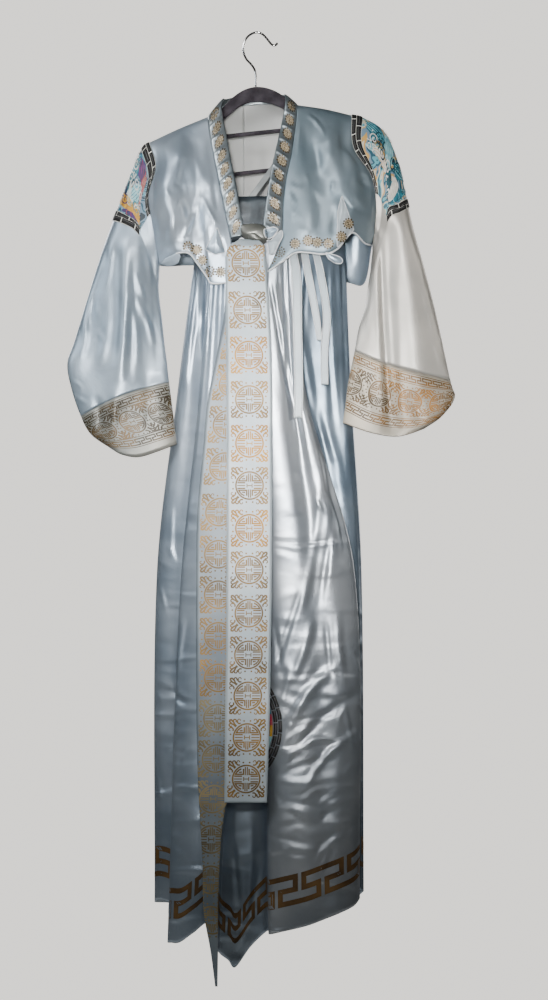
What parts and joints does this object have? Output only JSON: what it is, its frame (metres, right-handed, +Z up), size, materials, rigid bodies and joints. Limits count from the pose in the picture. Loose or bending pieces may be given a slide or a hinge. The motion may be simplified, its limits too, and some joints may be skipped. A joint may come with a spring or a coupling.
{
  "type": "hanbok jacket and wrap skirt on a hanger",
  "caption": "Satin hanbok, a short wide-sleeved jacket tied over a long gathered wrap skirt, hung on a velvet-covered hanger with a wire hook.",
  "frame": {"origin": "inside top of the hanger's hook, where a rail carries it", "axes": "+Z up along the hanging garment, +X to the viewer's right, +Y from the garment's front to its back"},
  "size_m": [0.679, 0.1539, 1.6677],
  "materials": {
    "satin": "satin",
    "collar_satin": "satin",
    "gold_satin": "satin",
    "ribbon_satin": "satin",
    "piping": "matte",
    "embroidery": "satin",
    "border_embroidery": "satin",
    "cotton": "matte",
    "velvet": "matte",
    "chrome": "polished"
  },
  "bodies": {
    "root": {"badge_border_lower_left": "border_embroidery", "badge_border_lower_right": "border_embroidery", "badge_border_upper_left": "border_embroidery", "badge_border_upper_right": "border_embroidery", "badge_field_left": "embroidery", "badge_field_right": "embroidery", "chest_band": "cotton", "collar_back_left": "collar_satin", "collar_back_right": "collar_satin", "collar_left": "collar_satin", "collar_right": "collar_satin", "cuff_left": "gold_satin", "cuff_right": "gold_satin", "hanger_arms": "velvet", "hanger_rail_lower": "velvet", "hanger_rail_upper": "velvet", "hem_piping_left": "piping", "hem_piping_right": "piping", "hook": "chrome", "inner_tie_left": "satin", "inner_tie_middle": "satin", "inner_tie_right": "satin", "jacket_back_left": "satin", "jacket_back_right": "satin", "jacket_front_left": "satin", "jacket_front_right": "satin", "skirt_strap_left": "cotton", "skirt_strap_right": "cotton", "skirt_width_back_left": "satin", "skirt_width_back_right": "satin", "skirt_width_front_centre": "satin", "skirt_width_front_inner": "satin", "skirt_width_front_left": "satin", "skirt_width_front_right": "satin", "skirt_width_side_left": "satin", "skirt_width_side_right": "satin", "sleeve_left": "satin", "sleeve_right": "satin", "tie_back": "ribbon_satin", "tie_front": "ribbon_satin", "tie_knot": "ribbon_satin"}
  },
  "joints": []
}
